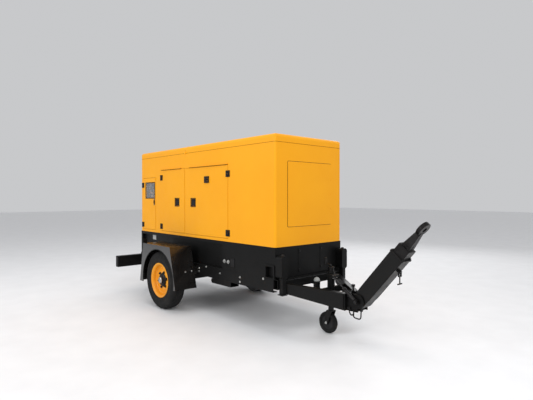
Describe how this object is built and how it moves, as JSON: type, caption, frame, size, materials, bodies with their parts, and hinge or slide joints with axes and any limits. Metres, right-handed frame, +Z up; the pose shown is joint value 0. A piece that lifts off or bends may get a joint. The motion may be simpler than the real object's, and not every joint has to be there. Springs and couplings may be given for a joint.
{
  "type": "towable diesel generator",
  "caption": "Sound-proofed diesel generating set on a single-axle road trailer with a height-adjustable drawbar, jockey wheel and service doors.",
  "frame": {"origin": "middle of the footprint's bounding box, on the ground", "axes": "+X is the towing direction along the length, +Y is the trailer's left side, +Z is up"},
  "size_m": [4.559, 1.82, 2.136],
  "materials": {
    "yellow_paint": "gloss sheet-metal enamel with fine dust",
    "black_paint": "semi-gloss black chassis enamel, dusty in the corners",
    "gunmetal": "dark bare forging with oil sheen",
    "zinc": "bright zinc plate",
    "tyre_rubber": "matt rubber, dusty sidewall",
    "rim_paint": "satin yellow wheel enamel",
    "cast_machine": "rough painted casting",
    "engine_paint": "rough green engine enamel",
    "black_plastic": "moulded plastic",
    "red_plastic": "moulded red plastic",
    "clear_pane": "clear pane",
    "radiator_aluminium": "fine finned core"
  },
  "bodies": {
    "root": {"rail_right": "black_paint", "rail_left": "black_paint", "drawbar_beam_right": "black_paint", "drawbar_beam_left": "black_paint", "fender_right": "black_paint", "fender_left": "black_paint", "side_wall_right": "yellow_paint", "side_wall_left": "yellow_paint", "cross_member_front": "black_paint", "bumper_beam": "black_paint", "drawbar_head": "black_paint", "support_strut": "gunmetal", "jockey_clamp": "black_paint", "axle": "black_paint", "air_tank": "black_paint", "base_tray": "black_paint", "fuel_tank": "black_plastic", "front_wall": "yellow_paint", "rear_wall": "yellow_paint", "front_cover": "yellow_paint", "roof_front": "yellow_paint", "roof_rear": "yellow_paint", "alternator": "cast_machine", "engine": "engine_paint", "radiator": "radiator_aluminium", "muffler": "cast_machine", "air_filter": "black_plastic", "battery": "black_plastic", "control_panel": "black_plastic"},
    "wheel_right": {"tyre_right": "tyre_rubber", "rim_right": "rim_paint"},
    "wheel_left": {"tyre_left": "tyre_rubber", "rim_left": "rim_paint"},
    "front_door_right": {"front_door_right": "yellow_paint"},
    "front_door_left": {"front_door_left": "yellow_paint"},
    "rear_door_right": {"rear_door_right": "yellow_paint"},
    "rear_door_left": {"rear_door_left": "yellow_paint"},
    "control_door": {"control_door": "yellow_paint", "control_window": "clear_pane"},
    "control_door_lock": {"control_door_lock": "black_paint"},
    "front_door_right_latch": {"front_door_right_latch": "black_paint"},
    "front_door_left_latch": {"front_door_left_latch": "black_paint"},
    "rear_door_right_latch": {"rear_door_right_latch": "black_paint"},
    "rear_door_left_latch": {"rear_door_left_latch": "black_paint"},
    "emergency_stop": {"emergency_stop": "black_plastic"},
    "fuel_cap": {"fuel_cap": "red_plastic"},
    "radiator_fan": {"radiator_fan": "black_plastic"},
    "drawbar": {"drawbar_arm": "black_paint", "towing_eye": "gunmetal"},
    "lock_pin": {"lock_pin": "gunmetal"},
    "breakaway_rod": {"breakaway_rod": "zinc"},
    "clamp_lever": {"clamp_lever": "zinc"},
    "jockey_mast": {"jockey_mast": "zinc"},
    "jockey_fork": {"jockey_fork": "zinc"},
    "jockey_wheel": {"jockey_wheel": "tyre_rubber"},
    "jockey_crank": {"jockey_crank": "zinc"},
    "swing_leg_right": {"swing_leg_right": "black_paint"},
    "swing_leg_left": {"swing_leg_left": "black_paint"},
    "front_leg_right": {"front_leg_right": "black_paint"},
    "front_leg_left": {"front_leg_left": "black_paint"}
  },
  "joints": [
    {"name": "wheel_right_spin", "type": "hinge", "parent": "root", "child": "wheel_right", "pos_m": [-0.97916, -0.79, 0.375], "axis": [0, 1, 0], "continuous": true},
    {"name": "wheel_left_spin", "type": "hinge", "parent": "root", "child": "wheel_left", "pos_m": [-0.97916, 0.79, 0.375], "axis": [0, 1, 0], "continuous": true},
    {"name": "front_door_right_hinge", "type": "hinge", "parent": "root", "child": "front_door_right", "pos_m": [0.05784, -0.5485, 1.408], "axis": [0, 0, 1], "range_deg": [0, 120]},
    {"name": "rear_door_right_hinge", "type": "hinge", "parent": "root", "child": "rear_door_right", "pos_m": [-1.53616, -0.5485, 1.408], "axis": [0, 0, -1], "range_deg": [0, 120]},
    {"name": "front_door_right_latch_pull", "type": "hinge", "parent": "front_door_right", "child": "front_door_right_latch", "pos_m": [-0.68916, -0.537, 1.432], "axis": [-1, 0, 0], "range_deg": [0, 35], "stiffness_Nm_per_rad": 1, "springref_deg": -11.46},
    {"name": "rear_door_right_latch_pull", "type": "hinge", "parent": "rear_door_right", "child": "rear_door_right_latch", "pos_m": [-1.09616, -0.537, 1.432], "axis": [-1, 0, 0], "range_deg": [0, 35], "stiffness_Nm_per_rad": 1, "springref_deg": -11.46},
    {"name": "front_door_left_hinge", "type": "hinge", "parent": "root", "child": "front_door_left", "pos_m": [0.05784, 0.5485, 1.408], "axis": [0, 0, -1], "range_deg": [0, 120]},
    {"name": "rear_door_left_hinge", "type": "hinge", "parent": "root", "child": "rear_door_left", "pos_m": [-1.53616, 0.5485, 1.408], "axis": [0, 0, 1], "range_deg": [0, 120]},
    {"name": "front_door_left_latch_pull", "type": "hinge", "parent": "front_door_left", "child": "front_door_left_latch", "pos_m": [-0.68916, 0.537, 1.432], "axis": [1, 0, 0], "range_deg": [0, 35], "stiffness_Nm_per_rad": 1, "springref_deg": -11.46},
    {"name": "rear_door_left_latch_pull", "type": "hinge", "parent": "rear_door_left", "child": "rear_door_left_latch", "pos_m": [-1.09616, 0.537, 1.432], "axis": [1, 0, 0], "range_deg": [0, 35], "stiffness_Nm_per_rad": 1, "springref_deg": -11.46},
    {"name": "control_door_hinge", "type": "hinge", "parent": "root", "child": "control_door", "pos_m": [-2.11516, -0.5485, 1.36], "axis": [0, 0, -1], "range_deg": [0, 120]},
    {"name": "control_door_lock_turn", "type": "hinge", "parent": "control_door", "child": "control_door_lock", "pos_m": [-1.75416, -0.54, 1.385], "axis": [0, -1, 0], "range_deg": [0, 90]},
    {"name": "emergency_stop_press", "type": "slide", "parent": "front_door_right", "child": "emergency_stop", "axis": [0, 1, 0], "range_m": [0, 0.005], "stiffness_N_per_m": 800, "springref_m": -0.003},
    {"name": "fuel_cap_turn", "type": "hinge", "parent": "root", "child": "fuel_cap", "pos_m": [-0.47916, -0.41, 0.9], "axis": [0, 0, 1], "range_deg": [0, 90]},
    {"name": "radiator_fan_spin", "type": "hinge", "parent": "root", "child": "radiator_fan", "pos_m": [0.45584, 0, 1.1589], "axis": [1, 0, 0], "continuous": true},
    {"name": "drawbar_raise", "type": "hinge", "parent": "root", "child": "drawbar", "pos_m": [1.57584, 0, 0.43], "axis": [0, 1, 0], "range_deg": [-35, 60]},
    {"name": "lock_pin_pull", "type": "slide", "parent": "root", "child": "lock_pin", "axis": [0, 0, 1], "range_m": [0, 0.06]},
    {"name": "breakaway_rod_swing", "type": "hinge", "parent": "drawbar", "child": "breakaway_rod", "pos_m": [1.98904, 0, 0.76752], "axis": [0, 1, 0], "range_deg": [-90, 38]},
    {"name": "clamp_lever_turn", "type": "hinge", "parent": "root", "child": "clamp_lever", "pos_m": [1.48584, -0.095, 0.348], "axis": [0, 1, 0], "range_deg": [-70, 20]},
    {"name": "jockey_lift", "type": "slide", "parent": "root", "child": "jockey_mast", "axis": [0, 0, 1], "range_m": [0, 0.17]},
    {"name": "jockey_swivel", "type": "hinge", "parent": "jockey_mast", "child": "jockey_fork", "pos_m": [1.17084, 0, 0.24], "axis": [0, 0, 1], "continuous": true},
    {"name": "jockey_roll", "type": "hinge", "parent": "jockey_fork", "child": "jockey_wheel", "pos_m": [1.13284, 0, 0.115], "axis": [0, 1, 0], "continuous": true},
    {"name": "jockey_crank_turn", "type": "hinge", "parent": "jockey_mast", "child": "jockey_crank", "pos_m": [1.17084, 0, 0.711], "axis": [0, 0, 1], "range_deg": [0, 6120]},
    {"name": "swing_leg_right_fold", "type": "hinge", "parent": "root", "child": "swing_leg_right", "pos_m": [-0.25916, -0.48, 0.4327], "axis": [0, 1, 0], "range_deg": [0, 90]},
    {"name": "front_leg_right_drop", "type": "slide", "parent": "root", "child": "front_leg_right", "axis": [0, 0, 1], "range_m": [-0.18, 0]},
    {"name": "swing_leg_left_fold", "type": "hinge", "parent": "root", "child": "swing_leg_left", "pos_m": [-0.25916, 0.48, 0.4327], "axis": [0, 1, 0], "range_deg": [0, 90]},
    {"name": "front_leg_left_drop", "type": "slide", "parent": "root", "child": "front_leg_left", "axis": [0, 0, 1], "range_m": [-0.18, 0]}
  ],
  "couplings": [
    {"joint": "jockey_crank_turn", "follows": "jockey_lift", "rad_per_m": 628.32}
  ]
}
